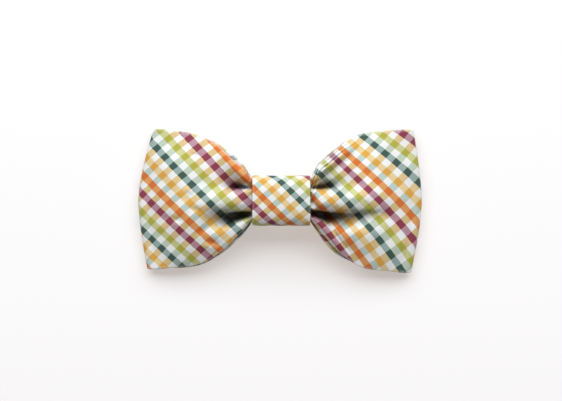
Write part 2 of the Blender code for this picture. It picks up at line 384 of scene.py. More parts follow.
# Where the back panel shows past the front panel's hem, in metres
PROUD_RUN = 0.1
PROUD_HEMS = [
    dict(edge="left_top", start=-0.02, end=0.55, proud=0.0010),
    dict(edge="left_low", start=0.35, end=1.00, proud=0.0008),
    dict(edge="right_low", start=-0.02, end=0.50, proud=0.0012),
]

# How far each outer corner lies inside the middle of its fold, as a share of the wing
CORNER_SETBACK = {"left_top": 0.105, "left_low": 0.062, "right_top": 0.06, "right_low": 0.075}

# How far the front panel's hem draws back from the back panel's, in metres
FRONT_SETBACK = named_rows(
    "out left_top left_low right_top right_low",
    (0.00, 0.0001, 0.0003, 0.0001, 0.0006),
    (0.04, 0.0012, 0.0013, 0.0003, 0.0013),
    (0.15, 0.0014, 0.0015, 0.0004, 0.0012),
    (0.30, 0.0006, 0.0010, 0.0002, 0.0005),
    (0.50, 0.0000, 0.0002, 0.0000, 0.0000),
    (1.00, 0.0000, 0.0000, 0.0000, 0.0000),
)

# The gathers that spread from the knot, in millimetres: how far out from the
# knot's side, the line's height over the middle, the valley's depth, and the
# widths of its slopes above and below that line. A higher roundness gives a
# flatter floor and steeper sides. A ridge has a negative depth.
VALLEY = "out line depth above below roundness"
VALLEYS = {
    "left": [
        named_rows(
            VALLEY,
            (0, 4.8, 5.0, 1.3, 0.6, 2.0),
            (2, 4.9, 9.5, 1.7, 0.7, 1.6),
            (5, 5.0, 10.0, 2.5, 0.9, 1.5),
            (8, 5.0, 6.4, 3.8, 1.2, 1.5),
            (12, 5.0, 3.8, 5.4, 1.8, 1.6),
            (16, 5.1, 2.0, 7.0, 2.6, 1.7),
            (23, 5.3, 0.0, 8.5, 3.0, 1.8),
        ),
        named_rows(
            VALLEY,
            (0, -4.6, 5.0, 0.7, 1.5, 3.0),
            (2, -4.7, 10.5, 0.7, 1.8, 3.0),
            (5, -5.0, 12.5, 0.8, 2.5, 3.0),
            (8, -5.6, 10.5, 1.2, 3.1, 3.0),
            (11, -6.6, 6.5, 2.0, 3.5, 2.8),
            (15, -7.8, 3.2, 3.2, 4.4, 2.2),
            (19, -8.7, 1.3, 4.0, 5.5, 2.0),
            (24, -9.2, 0.0, 4.5, 7.0, 2.0),
        ),
        named_rows(
            VALLEY,
            (0, 0.4, -1.2, 3.8, 3.6, 3.0),
            (3, 0.5, -2.6, 4.2, 3.9, 3.0),
            (12, 0.6, -2.4, 4.3, 4.6, 2.6),
            (24, 0.6, 0.0, 4.6, 5.0, 2.2),
        ),
    ],
    "right": [
        named_rows(
            VALLEY,
            (0, 4.8, 5.0, 1.3, 0.6, 2.0),
            (2, 4.9, 9.5, 1.7, 0.7, 1.6),
            (5, 5.1, 10.0, 2.4, 0.9, 1.5),
            (8, 5.2, 6.8, 3.5, 1.2, 1.5),
            (12, 5.2, 3.8, 5.0, 1.7, 1.6),
            (16, 5.2, 2.0, 6.5, 2.4, 1.7),
            (23, 5.3, 0.0, 8.0, 3.0, 1.8),
        ),
        named_rows(
            VALLEY,
            (0, -4.1, 5.0, 0.7, 1.5, 2.8),
            (2, -4.3, 10.5, 0.6, 1.9, 2.8),
            (5, -4.8, 12.5, 0.7, 2.7, 2.8),
            (8, -5.1, 10.0, 0.8, 3.8, 2.6),
            (12, -5.3, 7.0, 0.9, 5.0, 2.4),
            (17, -5.3, 4.4, 0.9, 5.8, 2.2),
            (23, -5.1, 2.2, 0.9, 6.4, 2.0),
            (30, -5.2, 0.0, 1.8, 6.0, 2.0),
        ),
        named_rows(
            VALLEY,
            (0, 0.2, -1.2, 3.8, 3.8, 3.4),
            (3, 0.2, -2.6, 4.2, 3.9, 3.4),
            (14, 0.0, -2.8, 4.6, 4.2, 3.0),
            (22, -0.2, -1.8, 5.0, 4.4, 2.6),
            (33, -0.2, 0.0, 5.4, 4.6, 2.2),
        ),
    ],
}

# Fine pleats along the hems near the knot, in millimetres: how far out, how
# far in from the hem, the groove's depth and its half width.
SLOPE_STEP, HEM_SLOPE_STEP = 0.5, 0.01  # in mm and as a share of the wing, to find a line's slope
PLEAT = "out hem depth half_width"
PLEATS = {
    "right_top": [
        named_rows(
            PLEAT,
            (0, 0.8, -2.6, 1.40),
            (3, 2.0, -4.0, 2.20),
            (9, 2.2, -2.8, 2.80),
            (20, 2.4, 0.0, 4.00),
        ),
        named_rows(
            PLEAT,
            (0, 0.9, 1.5, 0.32),
            (9, 1.1, 1.4, 0.36),
            (20, 1.2, 0.0, 0.45),
        ),
        named_rows(
            PLEAT,
            (0, 1.9, 1.7, 0.36),
            (9, 2.3, 1.6, 0.42),
            (21, 2.6, 0.0, 0.55),
        ),
        named_rows(
            PLEAT,
            (0, 3.4, 0.6, 0.60),
            (6, 4.8, 1.5, 1.20),
            (13, 5.6, 1.3, 1.80),
            (24, 6.5, 0.0, 2.40),
        ),
    ],
    "right_low": [
        named_rows(
            PLEAT,
            (0, 1.0, -0.6, 1.40),
            (6, 1.2, -1.4, 1.60),
            (16, 1.4, 0.0, 2.00),
        ),
        named_rows(
            PLEAT,
            (0, 3.2, 0.8, 0.80),
            (6, 4.6, 1.8, 1.10),
            (11, 3.6, 1.2, 1.00),
            (18, 2.6, 0.0, 0.80),
        ),
    ],
    "left_top": [
        named_rows(
            PLEAT,
            (0, 0.6, -2.6, 1.40),
            (3, 1.6, -4.0, 2.40),
            (8, 1.4, -3.0, 3.20),
            (18, 0.6, 0.0, 4.00),
        ),
    ],
    "left_low": [
        named_rows(
            PLEAT,
            (0, 0.8, -0.8, 1.40),
            (6, 0.9, -1.0, 1.60),
            (14, 1.0, 0.0, 2.00),
        ),
    ],
}

# Small creases of the front panels, in millimetres from the knot's middle
CREASES = named_rows(
    "start end half_width rise",
    ((-37.0, 19.6), (-31.0, 18.8), 1.1, 0.55),
    ((-41.0, 2.2), (-33.0, 5.6), 1.6, 0.70),
    ((-46.5, -6.4), (-38.0, -8.6), 1.3, -0.60),
    ((-33.0, -17.6), (-24.5, -19.4), 1.4, 0.60),
    ((-30.0, -15.5), (-23.5, -18.0), 1.0, -0.50),
    ((25.5, 3.4), (34.0, -1.6), 1.4, 0.60),
    ((30.0, 2.0), (36.5, -3.8), 1.1, -0.55),
    ((38.5, -3.0), (44.0, -9.0), 1.3, -0.50),
    ((16.0, -11.5), (20.5, -20.5), 1.2, -0.60),
    ((-37.5, 20.3), (-31.9, 17.1), 1.2, -0.45),
    ((-40.7, 5.4), (-36.7, 1.8), 1.0, -0.40),
    ((-37.5, -3.0), (-30.3, -4.2), 1.3, -0.60),
    ((-52.8, -8.6), (-45.9, -1.0), 0.9, -0.30),
    ((-48.7, -11.0), (-42.3, -2.6), 0.8, -0.28),
    ((-42.3, -8.6), (-35.1, -4.2), 0.8, -0.30),
    ((-34.7, -14.3), (-27.0, -8.6), 0.9, -0.35),
)

# How the check lies on each wing: the count of squares across the stripes
# and across the rows, as it runs from the knot's middle. The columns are the
# count there, and its change over 40 mm to the right, 40 mm up, and the
# slight stretch of the bias where those are combined. It runs on straight
# from a little inside the outer folds.
GRAIN_RUN = 40.0
GRAIN_EDGE = 3.0
GRAIN = {
    "left": dict(
        stripe=dict(at_knot=-3.4, right=-10.2, up=-9.6, right_right=0.0, right_up=0.8, up_up=1.2),
        row=dict(at_knot=11.4, right=7.4, up=-11.8, right_right=-1.3, right_up=-0.3, up_up=-1.0),
    ),
    "right": dict(
        stripe=dict(at_knot=13.1, right=-15.9, up=-13.8, right_right=2.4, right_up=3.0, up_up=-1.2),
        row=dict(at_knot=-4.5, right=9.3, up=-13.8, right_right=-0.4, right_up=4.0, up_up=-0.6),
    ),
}


def read(rows, column, out):
    """A column of a table's rows, read smoothly at any place along the wing."""
    places = np.array([float(row["out"]) for row in rows])
    values = np.array([float(row[column]) for row in rows])
    out = np.clip(out, places[0], places[-1])
    slopes = np.gradient(values, places)
    index = np.clip(np.searchsorted(places, out, side="right") - 1, 0, len(places) - 2)
    run = places[index + 1] - places[index]
    share = np.clip((out - places[index]) / run, 0.0, 1.0)
    square, cube = share**2, share**3
    return (
        (2 * cube - 3 * square + 1) * values[index]
        + (cube - 2 * square + share) * run * slopes[index]
        + (3 * square - 2 * cube) * values[index + 1]
        + (cube - square) * run * slopes[index + 1]
    )


def by_edge(wing, up, top_and_low):
    """Takes the upper edge's value above the middle line and the lower's below."""
    return np.where(up >= 0, top_and_low[wing + "_top"], top_and_low[wing + "_low"])


def half_height(wing, up, out):
    """From the middle line to the middle of the rounded hem."""
    edges = {wing + end: read(STATIONS, wing + end, out) for end in ("_top", "_low")}
    widening = (WING_HALF_HEIGHT - PINCH_HALF_HEIGHT) * by_edge(wing, up, edges)
    return PINCH_HALF_HEIGHT + widening - BOW_CLOTH / 2


def back_proud(wing, up, out):
    """How far past the front panel's hem the back panel's reaches."""
    edges = {wing + "_top": 0.0 * out, wing + "_low": 0.0 * out}
    for hem in PROUD_HEMS:
        along = np.clip((out - hem["start"]) / (hem["end"] - hem["start"]), 0.0, 1.0)
        if hem["edge"] in edges:
            edges[hem["edge"]] = edges[hem["edge"]] + hem["proud"] * np.sin(math.pi * along) ** 2
    return by_edge(wing, up, edges) * np.clip(out / PROUD_RUN, 0.0, 1.0)


def gather_relief(wing, y, out, wider=0.0):
    """The gathers' height over the plain front panel, or that of the wider troughs under its valleys."""
    flat = WING_LENGTH[wing] - STIFF_CLOTH / 2 - FOLD_REACH - PINCH_HALF_WIDTH
    out_mm, y_mm = 1000 * flat * out, 1000 * y
    relief = 0.0 * y * out
    for valley in VALLEYS[wing][: 2 if wider else None]:
        line = read(valley, "line", out_mm)
        ahead = read(valley, "line", out_mm + SLOPE_STEP)
        across = (y_mm - line) / np.hypot(1.0, (ahead - line) / SLOPE_STEP)
        width = np.where(across > 0, read(valley, "above", out_mm), read(valley, "below", out_mm))
        roundness = 2.0 if wider else read(valley, "roundness", out_mm)
        shape = np.exp(-np.abs(across / (width + 1000 * wider)) ** roundness)
        relief = relief - read(valley, "depth", out_mm) * shape / 1000
    if wider:
        return relief
    for edge in ("_top", "_low"):
        side = 1 if edge == "_top" else -1
        hem = 1000 * (half_height(wing, side + 0.0 * y, out) - read(FRONT_SETBACK, wing + edge, out))
        ahead = 1000 * half_height(wing, side + 0.0 * y, out + HEM_SLOPE_STEP)
        here = 1000 * half_height(wing, side + 0.0 * y, out)
        slope = (ahead - here) / (1000 * HEM_SLOPE_STEP * flat)
        for pleat in PLEATS[wing + edge]:
            inside = (hem - side * y_mm) / np.hypot(1.0, slope)
            across = (inside - read(pleat, "hem", out_mm)) / read(pleat, "half_width", out_mm)
            relief = relief - read(pleat, "depth", out_mm) * np.exp(-across**2) / 1000
    return relief


def crease_relief(x, y):
    """The small creases' height, at places in metres."""
    relief = 0.0 * x
    for crease in CREASES:
        start, end = (np.array(crease[key]) / 1000 for key in ("start", "end"))
        way = end - start
        share = ((x - KNOT_X - start[0]) * way[0] + (y - start[1]) * way[1]) / (way @ way)
        near = np.clip(share, 0.0, 1.0)
        away = np.hypot(x - KNOT_X - start[0] - near * way[0], y - start[1] - near * way[1])
        fade = np.sin(math.pi * np.clip(share, 0.02, 0.98))
        relief = relief + crease["rise"] / 1000 * np.exp(-((away * 1000 / crease["half_width"]) ** 2)) * fade
    return relief


def front_half_height(wing, up, out):
    """From the middle line to the front panel's hem, which draws back from the back panel's."""
    drawn_in = {wing + end: read(FRONT_SETBACK, wing + end, out) for end in ("_top", "_low")}
    return half_height(wing, up, out) - by_edge(wing, up, drawn_in)


def back_level(out):
    """The back panel's height along its middle line, before it is pressed down."""
    return STIFF_CLOTH / 2 + (PINCH_BACK - STIFF_CLOTH / 2) * read(STATIONS, "back", out)


def front_height(wing, y, out):
    """The plain front panel's height, without its gathers."""
    up = np.clip(y / front_half_height(wing, y, out), -1.0, 1.0)
    crest = PINCH_FRONT * read(STATIONS, "crest", out)
    hem = back_level(out) + (crest - back_level(out)) * read(STATIONS, "hem", out)
    return hem + (crest - hem) * (1 - np.abs(up) ** CROWN_CURVE)


def panel(wing, which, up, out):
    """A panel's middle surface as x, y and z arrays, rows up it and columns out along it."""
    side = -1 if wing == "left" else 1
    setback = by_edge(wing, up, CORNER_SETBACK) * np.abs(up) ** END_CURVE
    flat = WING_LENGTH[wing] * (1 - setback) - STIFF_CLOTH / 2 - FOLD_REACH - PINCH_HALF_WIDTH
    x = KNOT_X + side * (PINCH_HALF_WIDTH + out * flat)
    if which == "front":
        y = up * front_half_height(wing, up, out)
        z = front_height(wing, y, out)
    else:
        y = up * half_height(wing, up, out) + up**3 * back_proud(wing, up, out)
        z = back_level(out) + BACK_CURL * read(STATIONS, "back", out) * up**4
        pressed = front_height(wing, y, out) + gather_relief(wing, y, out, TROUGH) - FRONT_TO_BACK
        pressed = np.maximum(pressed, z - PRESS_SLOPE * out * flat)
        hem = np.sign(up) * front_half_height(wing, up, out)
        under_hem = front_height(wing, hem, out) + gather_relief(wing, hem, out) - HEM_DROP
        near_hem = np.clip((np.abs(up) - HEM_ZONE_START) / HEM_ZONE_RUN, 0.0, 1.0)
        near_hem = near_hem**2 * (3 - 2 * near_hem)
        near_hem = near_hem * np.clip((out - HEMS_START) / HEMS_START_RUN, 0.0, 1.0)
        near_hem = near_hem * np.clip((HEMS_PART - out) / HEMS_PART_RUN, 0.0, 1.0)
        z = z + near_hem * np.maximum(under_hem - z, 0.0)
        pressed = pressed + near_hem * np.maximum(under_hem - pressed, 0.0)
        z = -SETTLE * np.logaddexp(-z / SETTLE, -pressed / SETTLE)
        z = np.maximum(z, STIFF_CLOTH / 2)
    return np.stack([x, y, z + 0.0 * x], axis=-1)


def outer_fold(wing, up, turns):
    """The fold from the front panel's end, turn 0, to the back panel's, turn 1."""
    side = -1 if wing == "left" else 1
    front = panel(wing, "front", up, np.array([1.0]))
    back = panel(wing, "back", up, np.array([1.0]))
    middle, half = (front + back) / 2, (front - back) / 2
    fold = middle + half * np.cos(math.pi * turns)[None, :, None]
    fold[..., 0] = front[..., 0] + side * FOLD_REACH * np.sin(math.pi * turns)[None, :]
    return fold


def squares_of(wing, across, up_face):
    """The check's count of stripes and rows, at a place unrolled from the knot's middle, in mm."""
    reach = 1000 * WING_LENGTH[wing] - GRAIN_EDGE
    held = np.clip(across, -reach, reach)
    past = (across - held) / GRAIN_RUN
    a, b = held / GRAIN_RUN, up_face / GRAIN_RUN
    counts = []
    for way in ("stripe", "row"):
        g = GRAIN[wing][way]
        count = g["at_knot"] + g["right"] * a + g["up"] * b
        count = count + g["right_right"] * a * a + g["right_up"] * a * b + g["up_up"] * b * b
        counts.append(count + past * (g["right"] + 2 * g["right_right"] * a + g["right_up"] * b))
    return counts


def facing(surface):
    """A looped surface's outward directions, and its directions along the columns' way round."""
    along = np.roll(surface, -1, axis=1) - np.roll(surface, 1, axis=1)
    normal = np.cross(along, np.gradient(surface, axis=0))
    return normal / np.linalg.norm(normal, axis=-1, keepdims=True), along


def cloth_wall(outside, thickness):
    """A looped cloth's closed wall, and which row of the outside each of its rows belongs to.

    Its rows are the outside, the rounded top hem, the inside and the rounded low hem.
    """
    normal, along = facing(outside)
    hemward = np.cross(normal, along)
    hemward /= np.linalg.norm(hemward, axis=-1, keepdims=True)
    half = thickness / 2
    middle = outside - half * normal
    turns = [math.pi * step / (HEM_STEPS + 1) for step in range(1, HEM_STEPS + 1)]
    last = len(outside) - 1
    rows = list(outside)
    for turn in turns:
        rows.append(middle[last] + half * (normal[last] * math.cos(turn) + hemward[last] * math.sin(turn)))
    rows.extend(middle[::-1] - half * normal[::-1])
    for turn in turns:
        rows.append(middle[0] - half * (normal[0] * math.cos(turn) + hemward[0] * math.sin(turn)))
    owners = [*range(last + 1), *[last] * HEM_STEPS, *range(last, -1, -1), *[0] * HEM_STEPS]
    return np.array(rows), np.array(owners)


def cloth_piece(name, outside, thickness, squares, wear, material, painted_gather_shade=None):
    """A piece of cloth as a closed wall, with its thread map, worn hems and painted shade in its gathers.

    squares holds the check's counts at the near and the far points of each
    column of faces.
    """
    wall, owners = cloth_wall(outside, thickness)
    rows, columns = wall.shape[:2]
    index = np.arange(rows * columns).reshape(rows, columns)
    above, beside = np.roll(index, -1, axis=0), np.roll(index, -1, axis=1)
    across = np.roll(above, -1, axis=1)
    faces = np.stack([index, beside, across, above], axis=-1).reshape(-1, 4)
    mesh = bpy.data.meshes.new(name)
    mesh.from_pydata(wall.reshape(-1, 3).tolist(), [], faces.tolist())
    mesh.shade_smooth()
    mesh.materials.append(material)
    near, far = squares
    ahead = np.roll(owners, -1)
    corners = np.stack([near[owners], far[owners], far[ahead], near[ahead]], axis=2)
    mesh.uv_layers.new(name="counts").data.foreach_set("uv", corners.reshape(-1))
    worn = mesh.attributes.new("wear", "FLOAT", "POINT")
    worn.data.foreach_set("value", np.repeat(wear[owners], columns).astype(np.float32))
    # Painted shade in the deepest gathers, kept on the mesh for the cotton's colour
    painted_shade_values = np.zeros((rows, columns)) if painted_gather_shade is None else painted_gather_shade[owners]
    painted_shade_layer = mesh.attributes.new("painted_gather_shade", "FLOAT", "POINT")
    painted_shade_layer.data.foreach_set("value", painted_shade_values.reshape(-1).astype(np.float32))
    return add_object(name, mesh)


def bow_outside():
    """The loop's outer surface before its gathers, and for its points the gathers' height,
    the place along the unrolled strip, and whether the right wing's grain holds there."""
    up = np.linspace(-1.0, 1.0, WING_ROWS)[:, None]
    outs = np.linspace(0.0, 1.0, WING_COLUMNS) ** COLUMN_CROWDING
    turns = np.linspace(0.0, 1.0, TURN_COLUMNS + 2)[1:-1]
    pinch = np.linspace(0.0, 1.0, PINCH_COLUMNS + 2)[None, 1:-1]
    turn_length = 1000 * math.pi / 2 * (FOLD_REACH + PINCH_FRONT * STATIONS[-1]["crest"] / 2)
    grids, lifts, places, rights = [], [], [], []

    def add(grid, lift, place, right, flip=False):
        """Adds some columns to the loop, in turned order where flip is set."""
        step = -1 if flip else 1
        grids.append(grid[:, ::step])
        lifts.append(np.broadcast_to(lift, grid.shape[:2])[:, ::step])
        places.append(np.broadcast_to(place, grid.shape[:2])[:, ::step])
        rights.append(np.full(grid.shape[1], right))

    fronts, backs, raised, spots = {}, {}, {}, {}
    for wing, side in (("left", -1), ("right", 1)):
        fronts[wing] = panel(wing, "front", up, outs)
        backs[wing] = panel(wing, "back", up, outs)
        raised[wing] = gather_relief(wing, fronts[wing][..., 1], outs[None, :])
        spots[wing] = 1000 * (fronts[wing][..., 0] - KNOT_X)
        end = spots[wing][:, -1:]
        spots[wing, "turn"] = end + side * turn_length * turns[None, :]
        spots[wing, "back"] = 2 * end + side * turn_length - 1000 * (backs[wing][..., 0] - KNOT_X)

    def add_pinch(first, second, grids_of, lifts_of, places_of):
        """Adds the columns inside the knot, from one wing's panel to the other's."""
        share = pinch[..., None]
        a, b = grids_of[first][:, :1], grids_of[second][:, :1]
        lift = lifts_of[first][:, :1] * (1 - pinch) + lifts_of[second][:, :1] * pinch
        grid = a + (b - a) * share
        place = places_of[:, :1] + 1000 * (grid[..., 0] - a[..., 0]) * (1 if grids_of is fronts else -1)
        add(grid, lift, place, first == "right")

    flat_lift = {wing: np.zeros(backs[wing].shape[:2]) for wing in backs}
    add(fronts["left"], raised["left"], spots["left"], False, True)
    add_pinch("left", "right", fronts, raised, spots["left"])
    add(fronts["right"], raised["right"], spots["right"], True)
    add(outer_fold("right", up, turns), 0.0, spots["right", "turn"], True)
    add(backs["right"], 0.0, spots["right", "back"], True, True)
    add_pinch("right", "left", backs, flat_lift, spots["right", "back"])
    add(backs["left"], 0.0, spots["left", "back"], False)
    add(outer_fold("left", up, turns), 0.0, spots["left", "turn"], False, True)
    middle = np.concatenate(grids, axis=1)
    outside = middle + STIFF_CLOTH / 2 * facing(middle)[0]
    joined = (np.concatenate(part, axis=1) for part in (lifts, places))
    return outside, *joined, np.concatenate(rights)


def bow_squares(outside, place, right):
    """The check's counts at the near and far points of each column of faces."""
    up_face = outside[..., 1] * 1000
    counts = {w: np.stack(squares_of(w, place, up_face), axis=-1) for w in ("left", "right")}
    ahead_place, ahead_up = np.roll(place, -1, axis=1), np.roll(up_face, -1, axis=1)
    ahead = {w: np.stack(squares_of(w, ahead_place, ahead_up), axis=-1) for w in ("left", "right")}
    near = np.where(right[None, :, None], counts["right"], counts["left"])
    far = np.where(right[None, :, None], ahead["right"], ahead["left"])
    seam = right & ~np.roll(right, -1) | ~right & np.roll(right, -1)
    far[:, seam] = near[:, seam]
    return near, far


def edge_wear(rows, width):
    """How worn each row of a strip is: most at its two edges, and not at all beyond that width."""
    return np.clip((np.abs(np.linspace(-1, 1, rows)) - 1 + width) / width, 0.0, 1.0)


def rumple(surface, size, rise, seed):
    """Slight unevenness of pressed cloth, along Z."""
    flat = surface.reshape(-1, 3)
    heights = [noise.noise(Vector((x / size, y / size, z / size + seed))) for x, y, z in flat.tolist()]
    moved = surface.copy()
    moved[..., 2] += rise * np.array(heights).reshape(surface.shape[:2])
    return moved


bow_surface, bow_lift, bow_place, bow_right = bow_outside()
front_face = facing(bow_surface)[0][..., 2] > LOOKS_UP
bow_creased = bow_surface.copy()
bow_creased[..., 2] += bow_lift
bow_creased[..., 2] += front_face * crease_relief(bow_surface[..., 0], bow_surface[..., 1])
rumpled = bow_creased
for unevenness in RUMPLES:
    rumpled = rumple(rumpled, **unevenness)
from_knot = np.abs(bow_surface[..., 0] - KNOT_X) - PINCH_HALF_WIDTH
rough_share = front_face * np.clip(from_knot / SMOOTH_BY_KNOT, 0.0, 1.0)
bow_creased[..., 2] += rough_share * (rumpled - bow_creased)[..., 2]
bow = cloth_piece(
    "check_bow",
    bow_creased,
    BOW_CLOTH,
    bow_squares(bow_surface, bow_place, bow_right),
    edge_wear(WING_ROWS, HEM_WEAR),
    cotton,
    # painted shade, by the gathers' depth
    np.clip((-bow_lift - PAINTED_SHADE_START) / PAINTED_SHADE_RUN, 0.0, 1.0),
)
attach(bow, "root")
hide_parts("bow_loop")


# The knot
# A second strip of the cotton, folded to its own width with both raw edges
# inside, wrapped once tightly round the gathers and sewn shut at the back.
KNOT_CROWN = 0.0006  # how much the band swells between its two folded edges
KNOT_SQUARENESS = 2.8  # exponent of the wrapped outline, 2 being an ellipse
KNOT_LAP_HEIGHT = -0.0040  # where its end is lapped and sewn, below the middle of its back
KNOT_LAP_STEP = 0.0004  # how far the layer beneath stands in at the lap's edge
KNOT_LAP_REACH = 0.0030  # and how far from it that evens out
KNOT_ROWS = 41
KNOT_COLUMNS = 160
KNOT_EDGE_WEAR = 0.04  # as a share of its half width
KNOT_WORN = 1 / 3  # how worn its edges are beside the bow's hems
KNOT_GRAIN = dict(
    stripe=dict(at_knot=6.2, right=-11.9, up=-11.9),
    row=dict(at_knot=2.2, right=10.3, up=-12.1),
)


def knot_surface():
    """The band's outer surface: rows across its width, columns down its face and round."""
    along = np.linspace(0.0, 1.0, KNOT_ROWS)[:, None]
    angle = math.pi / 2 + 2 * math.pi * np.arange(KNOT_COLUMNS)[None, :] / KNOT_COLUMNS

    def rounded(value):
        return np.sign(value) * np.abs(value) ** (2 / KNOT_SQUARENESS)

    half_deep = (knot_high.z - KNOT_CROWN - knot_low.z) / 2
    half_high = (knot_high.y - knot_low.y) / 2
    middle = knot_low.z + half_deep
    crown = KNOT_CROWN * (1 - (2 * along - 1) ** 2)
    y = half_high * rounded(np.cos(angle)) + 0.0 * along
    z = middle + half_deep * rounded(np.sin(angle)) + crown * np.clip(np.sin(angle), 0.0, 1.0)
    beyond = (y - KNOT_LAP_HEIGHT) / KNOT_LAP_REACH
    z = z + np.where((np.sin(angle) < 0) & (beyond > 0), KNOT_LAP_STEP * np.exp(-beyond), 0.0)
    width = knot_high.x - knot_low.x - KNOT_CLOTH
    x = knot_low.x + KNOT_CLOTH / 2 + along * width + 0.0 * angle
    return np.stack([x, y, z], axis=-1)


def knot_squares(surface):
    """The check's counts on the band, unrolled both ways from its face to the lap at its back."""
    step = np.linalg.norm(np.roll(surface, -1, axis=1) - surface, axis=-1)
    length = np.concatenate([np.zeros((len(surface), 1)), np.cumsum(step, axis=1)], axis=1)
    up_back = surface[0, KNOT_COLUMNS // 4 : 3 * KNOT_COLUMNS // 4, 1] > KNOT_LAP_HEIGHT
    lap = KNOT_COLUMNS // 4 + int(np.argmax(up_back)) - 1
    past_lap = (np.arange(KNOT_COLUMNS) >= lap)[None, :]
    right = 1000 * (surface[..., 0] - KNOT_X) / GRAIN_RUN
    corners = []
    for gone in (length[:, :-1], length[:, 1:]):
        up = -1000 * np.where(past_lap, gone - length[:, -1:], gone) / GRAIN_RUN
        counts = [
            KNOT_GRAIN[way]["at_knot"] + KNOT_GRAIN[way]["right"] * right + KNOT_GRAIN[way]["up"] * up
            for way in ("stripe", "row")
        ]
        corners.append(np.stack(counts, axis=-1))
    return corners


knot_cloth = knot_surface()
knot_wear = KNOT_WORN * edge_wear(KNOT_ROWS, KNOT_EDGE_WEAR)
knot = cloth_piece("wrapped_knot", knot_cloth, KNOT_CLOTH, knot_squares(knot_cloth), knot_wear, cotton)
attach(knot, "root")
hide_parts("knot_band")


# The elastic
# A loop of white ribbed elastic, woven of cotton over rubber threads, tacked
# to the knot's back. The pet's collar passes through it.
ELASTIC_CLOTH = 0.0011
ELASTIC_RIBS = 11
ELASTIC_RIB_DEPTH = 0.00012
ELASTIC_ROWS_PER_RIB = 4
ELASTIC_COLUMNS = 120
ELASTIC_PICK = 0.0006  # between the threads across the ribs, drawn coarser than the real 0.4 mm
ELASTIC_WHITE = "#EAE7DF"
FUZZES_PER_RIB, FUZZ_SHADE = 0.9, 0.12
PICK_HEIGHT = 0.0001

elastic_low, elastic_high = (Vector(corner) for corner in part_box("collar_loop"))


def elastic_surface():
    """The loop's outer surface: rows across its ribs, columns once round it."""
    rows = ELASTIC_RIBS * ELASTIC_ROWS_PER_RIB + 1
    along = np.linspace(0.0, 1.0, rows)[:, None]
    radius = (elastic_high.z - elastic_low.z) / 2
    straight = (elastic_high.y - elastic_low.y) / 2 - radius
    arc = math.pi * radius
    whole = 4 * straight + 2 * arc
    gone = whole * np.arange(ELASTIC_COLUMNS)[None, :] / ELASTIC_COLUMNS
    first = np.clip(gone, 0.0, straight)
    low_end = np.clip(gone - straight, 0.0, arc) / radius
    under = np.clip(gone - straight - arc, 0.0, 2 * straight)
    top_end = np.clip(gone - 3 * straight - arc, 0.0, arc) / radius
    last = np.clip(gone - 3 * straight - 2 * arc, 0.0, straight)
    drawn_in = 1 - ELASTIC_RIB_DEPTH / radius * (1 - np.abs(np.sin(math.pi * ELASTIC_RIBS * along)))
    middle = Vector((elastic_low + elastic_high) / 2)
    y = middle.y - first + under - last - radius * drawn_in * (np.sin(low_end) - np.sin(top_end))
    z = middle.z + radius * drawn_in * np.cos(low_end + top_end)
    width = elastic_high.x - elastic_low.x - ELASTIC_CLOTH
    x = elastic_low.x + ELASTIC_CLOTH / 2 + along * width + 0.0 * gone
    counts = np.stack([ELASTIC_RIBS * along + 0.0 * gone, gone / ELASTIC_PICK + 0.0 * along], axis=-1)
    ahead = np.roll(counts, -1, axis=1)
    ahead[:, -1, 1] = whole / ELASTIC_PICK
    return np.stack([x, y, z], axis=-1), (counts, ahead)


def ribbed_elastic():
    """Woven elastic: rough and matt like cotton tape, index of refraction 1.5, picks across its ribs."""
    material, tree, shader = new_material(
        "white ribbed elastic",
        {"Roughness": 0.8, "IOR": 1.5, "Specular IOR Level": 0.3, "Sheen Weight": 0.15},
    )
    counts = add_node(tree, "ShaderNodeUVMap", uv_map="counts").outputs["UV"]
    place = add_node(tree, "ShaderNodeSeparateXYZ", {0: counts})
    turned = add_node(tree, "ShaderNodeMath", {0: place.outputs["Y"], 1: math.pi}, operation="MULTIPLY")
    wave = add_node(tree, "ShaderNodeMath", {0: turned.outputs[0]}, operation="SINE")
    pick = add_node(tree, "ShaderNodeMath", {0: wave.outputs[0]}, operation="ABSOLUTE")
    fuzz = add_node(
        tree, "ShaderNodeTexNoise", {"Vector": counts, "Scale": FUZZES_PER_RIB, "Detail": 3.0}
    )
    shade = add_node(
        tree,
        "ShaderNodeMath",
        {0: fuzz.outputs["Fac"], 1: FUZZ_SHADE, 2: 1 - FUZZ_SHADE},
        operation="MULTIPLY_ADD",
    )
    cloth = add_node(
        tree, "ShaderNodeHueSaturation", {"Color": linear(ELASTIC_WHITE), "Value": shade.outputs[0]}
    )
    bump = add_node(
        tree, "ShaderNodeBump", {"Strength": 0.5, "Distance": PICK_HEIGHT, "Height": pick.outputs[0]}
    )
    tree.links.new(cloth.outputs[0], shader.inputs["Base Color"])
    tree.links.new(bump.outputs["Normal"], shader.inputs["Normal"])
    return material


elastic_cloth, elastic_counts = elastic_surface()
unworn = np.zeros(len(elastic_cloth))
elastic = cloth_piece(
    "ribbed_elastic", elastic_cloth, ELASTIC_CLOTH, elastic_counts, unworn, ribbed_elastic()
)
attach(elastic, "root")
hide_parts("collar_loop")


